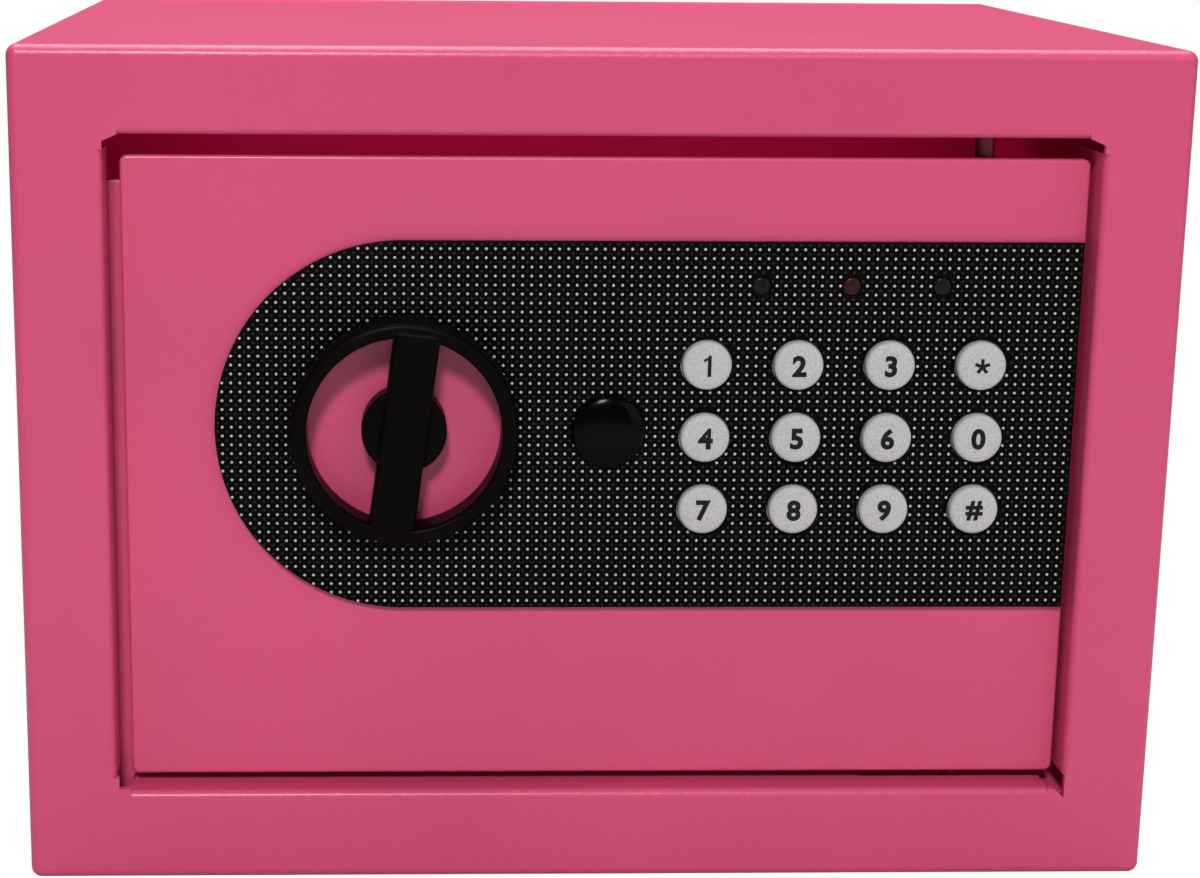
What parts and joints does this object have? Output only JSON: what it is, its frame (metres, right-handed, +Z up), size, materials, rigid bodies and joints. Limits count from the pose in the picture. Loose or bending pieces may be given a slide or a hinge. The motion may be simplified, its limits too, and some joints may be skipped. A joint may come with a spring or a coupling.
{
  "type": "toy safe coin bank",
  "caption": "Small steel money-box safe with a recessed right-hinged door, keypad, turning knob, sliding bolts and an emergency lock behind a pull-off plug.",
  "frame": {"origin": "middle of the cabinet's base, on the surface it stands on", "axes": "+X to the right as seen from the front, -Y out of the door, +Z up"},
  "size_m": [0.23, 0.1744, 0.17],
  "materials": {
    "powder_coat": "satin pink powder coat with a fine orange-peel texture",
    "black_plastic": "satin black",
    "gloss_black": "glossy black",
    "grey_rubber": "matte grey",
    "steel": "zinc plated",
    "brass": "plain",
    "copper": "enamelled copper winding",
    "board_green": "green board",
    "felt": "dark felt",
    "red_plastic": "red",
    "lamp_lens": "unlit dark tinted lens"
  },
  "bodies": {
    "cabinet": {"cabinet_shell": "powder_coat", "back_panel": "powder_coat", "bolt_stop_strip": "powder_coat", "hinge_bracket_upper": "powder_coat", "hinge_bracket_lower": "powder_coat", "floor_mat": "felt"},
    "door": {"door_plate": "powder_coat", "fascia_panel": "black_plastic", "hinge_pin_upper": "steel", "hinge_pin_lower": "steel", "spindle_bushing": "brass", "bolt_guide_bracket": "steel", "guide_post_upper": "steel", "guide_post_lower": "steel", "solenoid_yoke": "steel", "solenoid_coil": "copper", "plunger_spring": "steel", "lock_housing": "steel", "lock_nut": "steel", "lamp_left": "lamp_lens", "lamp_middle": "lamp_lens", "lamp_right": "lamp_lens", "keypad_board": "board_green", "buzzer": "black_plastic", "inner_cover": "powder_coat", "cover_screw_1": "steel", "cover_screw_2": "steel", "cover_screw_3": "steel", "cover_screw_4": "steel", "battery_holder": "black_plastic", "battery_1": "steel", "battery_2": "steel", "battery_3": "steel", "battery_4": "steel"},
    "knob": {"knob": "black_plastic", "spindle": "steel", "crank": "steel"},
    "bolts": {"bolt_carriage": "steel", "bolt_upper": "steel", "bolt_lower": "steel"},
    "lock": {"lock_rotor": "brass", "lock_cam": "steel", "cam_nut": "steel"},
    "plug": {"key_cover_plug": "gloss_black"},
    "plunger": {"plunger": "steel"},
    "battery_cover": {"battery_cover": "black_plastic"},
    "reset": {"reset_button": "red_plastic"},
    "key_1": {"key_1": "grey_rubber"},
    "key_2": {"key_2": "grey_rubber"},
    "key_3": {"key_3": "grey_rubber"},
    "key_star": {"key_star": "grey_rubber"},
    "key_4": {"key_4": "grey_rubber"},
    "key_5": {"key_5": "grey_rubber"},
    "key_6": {"key_6": "grey_rubber"},
    "key_0": {"key_0": "grey_rubber"},
    "key_7": {"key_7": "grey_rubber"},
    "key_8": {"key_8": "grey_rubber"},
    "key_9": {"key_9": "grey_rubber"},
    "key_hash": {"key_hash": "grey_rubber"}
  },
  "joints": [
    {"name": "door_hinge", "type": "hinge", "parent": "cabinet", "child": "door", "pos_m": [0.0766, -0.0742, 0.085], "axis": [0, 0, 1], "range_deg": [0, 100]},
    {"name": "knob_turn", "type": "hinge", "parent": "door", "child": "knob", "pos_m": [-0.0386, -0.085, 0.0947], "axis": [0, -1, 0], "range_deg": [0, 70]},
    {"name": "bolt_slide", "type": "slide", "parent": "door", "child": "bolts", "axis": [-1, 0, 0], "range_m": [0, 0.0138]},
    {"name": "lock_turn", "type": "hinge", "parent": "door", "child": "lock", "pos_m": [0.0023, -0.079, 0.0939], "axis": [0, 1, 0], "range_deg": [0, 80]},
    {"name": "plug_pull", "type": "slide", "parent": "door", "child": "plug", "axis": [0, -1, 0], "range_m": [0, 0.012]},
    {"name": "plunger_slide", "type": "slide", "parent": "door", "child": "plunger", "axis": [0, 0, 1], "range_m": [-0.005, 0], "deforming": ["plunger_spring"]},
    {"name": "battery_cover_slide", "type": "slide", "parent": "door", "child": "battery_cover", "axis": [-1, 0, 0], "range_m": [0, 0.05]},
    {"name": "reset_press", "type": "slide", "parent": "door", "child": "reset", "axis": [0, -1, 0], "range_m": [0, 0.001], "stiffness_N_per_m": 500},
    {"name": "press_1", "type": "slide", "parent": "door", "child": "key_1", "axis": [0, 1, 0], "range_m": [0, 0.001], "stiffness_N_per_m": 600},
    {"name": "press_2", "type": "slide", "parent": "door", "child": "key_2", "axis": [0, 1, 0], "range_m": [0, 0.001], "stiffness_N_per_m": 600},
    {"name": "press_3", "type": "slide", "parent": "door", "child": "key_3", "axis": [0, 1, 0], "range_m": [0, 0.001], "stiffness_N_per_m": 600},
    {"name": "press_star", "type": "slide", "parent": "door", "child": "key_star", "axis": [0, 1, 0], "range_m": [0, 0.001], "stiffness_N_per_m": 600},
    {"name": "press_4", "type": "slide", "parent": "door", "child": "key_4", "axis": [0, 1, 0], "range_m": [0, 0.001], "stiffness_N_per_m": 600},
    {"name": "press_5", "type": "slide", "parent": "door", "child": "key_5", "axis": [0, 1, 0], "range_m": [0, 0.001], "stiffness_N_per_m": 600},
    {"name": "press_6", "type": "slide", "parent": "door", "child": "key_6", "axis": [0, 1, 0], "range_m": [0, 0.001], "stiffness_N_per_m": 600},
    {"name": "press_0", "type": "slide", "parent": "door", "child": "key_0", "axis": [0, 1, 0], "range_m": [0, 0.001], "stiffness_N_per_m": 600},
    {"name": "press_7", "type": "slide", "parent": "door", "child": "key_7", "axis": [0, 1, 0], "range_m": [0, 0.001], "stiffness_N_per_m": 600},
    {"name": "press_8", "type": "slide", "parent": "door", "child": "key_8", "axis": [0, 1, 0], "range_m": [0, 0.001], "stiffness_N_per_m": 600},
    {"name": "press_9", "type": "slide", "parent": "door", "child": "key_9", "axis": [0, 1, 0], "range_m": [0, 0.001], "stiffness_N_per_m": 600},
    {"name": "press_hash", "type": "slide", "parent": "door", "child": "key_hash", "axis": [0, 1, 0], "range_m": [0, 0.001], "stiffness_N_per_m": 600}
  ],
  "couplings": [
    {"joint": "knob_turn", "follows": "bolt_slide", "rad_per_m": 88.53}
  ]
}
